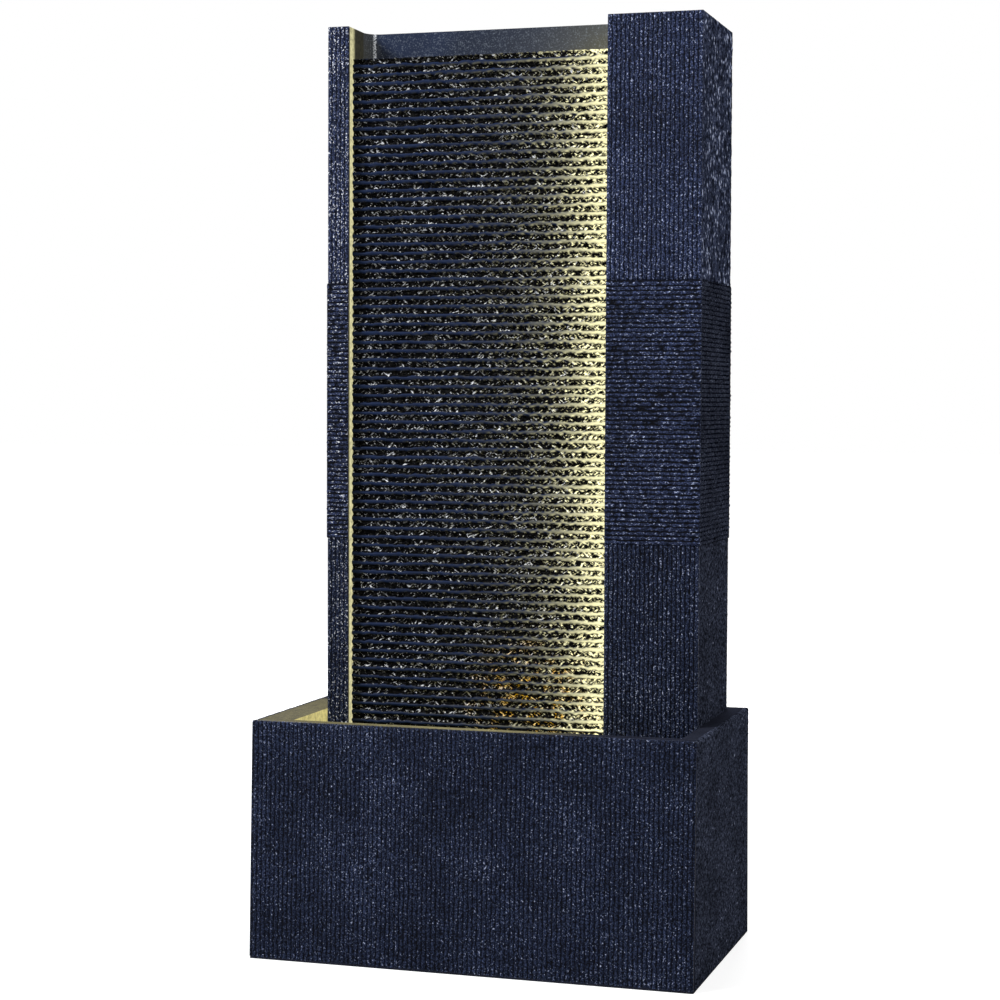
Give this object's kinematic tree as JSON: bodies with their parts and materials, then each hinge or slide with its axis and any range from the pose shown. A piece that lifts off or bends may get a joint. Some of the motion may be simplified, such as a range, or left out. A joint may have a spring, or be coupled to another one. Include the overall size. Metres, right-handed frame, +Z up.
{
  "type": "garden wall fountain",
  "caption": "Tall self-contained water-wall fountain: open rectangular basin, two ribbed pillars and a lit, horizontally ribbed wall that water runs down, with a pump behind a rear door.",
  "frame": {"origin": "on the floor under the middle of the basin", "axes": "+Z up, the ribbed wall faces -Y, +X to the right as seen from the front"},
  "size_m": [0.6, 0.36, 1.242],
  "materials": {
    "cast_basin": "cast polyresin, navy-black, ribbed and beaded stone look",
    "cast_tower": "cast polyresin, navy-black, ribbed stone look",
    "cast_wall": "cast polyresin, glossy under running water",
    "cast_header": "cast polyresin, smooth, slate grey-blue",
    "panel_resin": "moulded sheet, fine matt grain",
    "batten_resin": "moulded bar, matt",
    "steel": "stainless, satin",
    "magnet": "black moulding round a magnet",
    "rubber_black": "soft, matt",
    "channel": "anodised extrusion",
    "strip_board": "white flexible board",
    "light_chip": "warm white light chip",
    "diffuser": "opal cover, warm when lit",
    "white_plastic": "moulded, matt",
    "lamp_black": "black moulding",
    "lamp_lens": "clear lens, amber when lit",
    "pump_black": "black moulding",
    "magnet_rotor": "ferrite magnet with moulded blades",
    "ceramic_shaft": "polished",
    "hose_clear": "soft clear hose",
    "pipe_grey": "moulded, matt"
  },
  "bodies": {
    "fountain": {"basin": "cast_basin", "drain_bush": "pipe_grey", "left_pillar": "cast_tower", "right_pillar": "cast_tower", "water_wall": "cast_wall", "header_trough": "cast_header", "rear_panel": "panel_resin", "rear_battens": "batten_resin", "top_cover": "cast_tower", "panel_screws": "steel", "cable_grommet": "rubber_black", "wall_brackets": "steel", "bracket_screws": "steel", "magnetic_catch": "magnet", "hinge_leaves": "steel", "hinge_pins": "steel", "led_channel": "channel", "led_strip": "strip_board", "led_chips": "light_chip", "led_diffuser": "diffuser", "led_end_caps": "white_plastic", "spot_suction_cup": "rubber_black", "spot_bracket": "steel", "pump_motor": "pump_black", "pump_volute": "pump_black", "impeller_shaft": "ceramic_shaft", "shaft_bushes": "rubber_black", "pump_suction_cups": "rubber_black", "outlet_nipple": "pipe_grey", "riser_hose": "hose_clear", "hose_clamps": "steel", "trough_fitting": "pipe_grey", "fitting_gasket": "rubber_black", "fitting_nut": "pipe_grey", "spreader_pipe": "pipe_grey", "spreader_caps": "pipe_grey"},
    "door": {"access_door": "panel_resin", "door_knob": "lamp_black", "catch_plate": "steel", "door_hinge_leaves": "steel"},
    "lamp_head": {"spot_housing": "lamp_black", "spot_led_board": "light_chip", "spot_lens": "lamp_lens", "spot_bezel": "lamp_black", "spot_pivot_screws": "lamp_black"},
    "strainer": {"intake_cover": "pump_black"},
    "dial": {"flow_dial": "white_plastic"},
    "rotor": {"impeller": "magnet_rotor"},
    "plug": {"drain_plug": "rubber_black"}
  },
  "joints": [
    {"name": "door_hinge", "type": "hinge", "parent": "fountain", "child": "door", "pos_m": [-0.1315, 0.1474, 0.462], "axis": [0, 0, 1], "range_deg": [0, 165]},
    {"name": "lamp_tilt", "type": "hinge", "parent": "fountain", "child": "lamp_head", "pos_m": [0.0485, -0.0975, 0.057], "axis": [1, 0, 0], "range_deg": [-60, 60]},
    {"name": "strainer_slide", "type": "slide", "parent": "fountain", "child": "strainer", "axis": [-1, 0, 0], "range_m": [0, 0.03]},
    {"name": "dial_turn", "type": "hinge", "parent": "strainer", "child": "dial", "pos_m": [0.0162, 0.059, 0.051], "axis": [1, 0, 0], "range_deg": [0, 45]},
    {"name": "rotor_spin", "type": "hinge", "parent": "fountain", "child": "rotor", "pos_m": [0.0585, 0.059, 0.051], "axis": [1, 0, 0], "continuous": true},
    {"name": "plug_pull", "type": "slide", "parent": "fountain", "child": "plug", "axis": [0, 1, 0], "range_m": [0, 0.035]}
  ]
}
